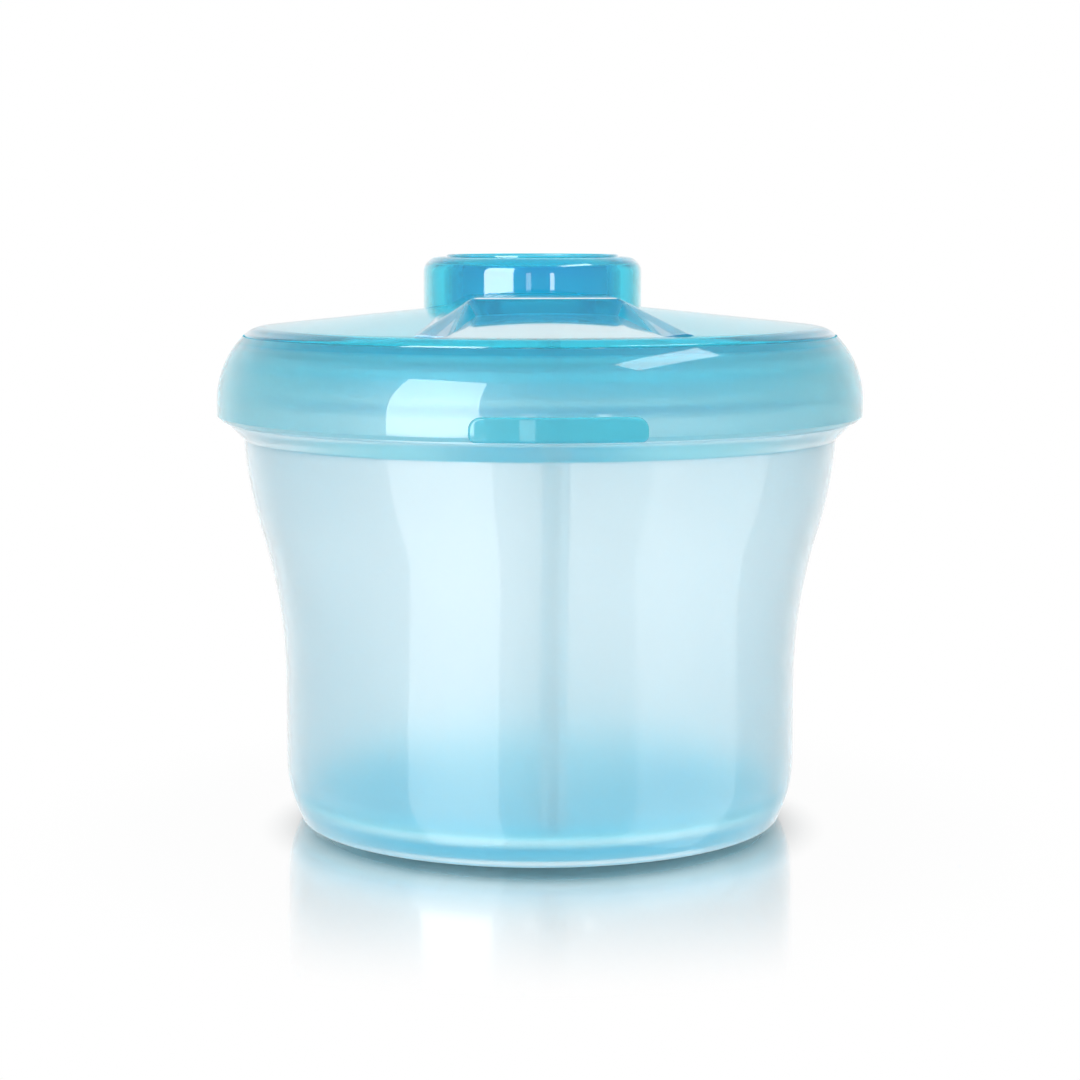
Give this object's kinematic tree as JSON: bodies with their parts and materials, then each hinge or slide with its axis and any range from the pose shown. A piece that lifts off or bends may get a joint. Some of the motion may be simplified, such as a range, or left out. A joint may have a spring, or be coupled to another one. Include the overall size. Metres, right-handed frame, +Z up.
{
  "type": "formula dispenser",
  "caption": "Waisted powder dispenser cup with a removable three-way divider, a snap lid whose dome turns, a pouring spout and a hinged flip cap.",
  "frame": {"origin": "middle of the base, on the surface the dispenser stands on", "axes": "+Z up through the cup, -Y towards the thumb tab, +Y towards the pouring spout"},
  "size_m": [0.1058, 0.107, 0.0928],
  "materials": {
    "cup_plastic": "pale blue translucent polypropylene, glossy outside",
    "divider_plastic": "pale frosted polypropylene",
    "lid_plastic": "turquoise translucent polypropylene, polished"
  },
  "bodies": {
    "cup": {"cup": "cup_plastic"},
    "divider": {"divider": "divider_plastic"},
    "lid_ring": {"lid_ring": "lid_plastic"},
    "lid_dome": {"lid_dome": "lid_plastic"},
    "spout_cap": {"spout_cap": "lid_plastic"}
  },
  "joints": [
    {"name": "divider_lift", "type": "slide", "parent": "cup", "child": "divider", "axis": [0, 0, 1], "range_m": [0, 0.08]},
    {"name": "lid_lift", "type": "slide", "parent": "divider", "child": "lid_ring", "axis": [0, 0, 1], "range_m": [0, 0.04]},
    {"name": "dome_turn", "type": "hinge", "parent": "lid_ring", "child": "lid_dome", "pos_m": [0, 0, 0.076], "axis": [0, 0, 1], "continuous": true},
    {"name": "cap_flip", "type": "hinge", "parent": "lid_dome", "child": "spout_cap", "pos_m": [0, 0.0034, 0.08491], "axis": [1, 0, 0], "range_deg": [0, 100]}
  ]
}
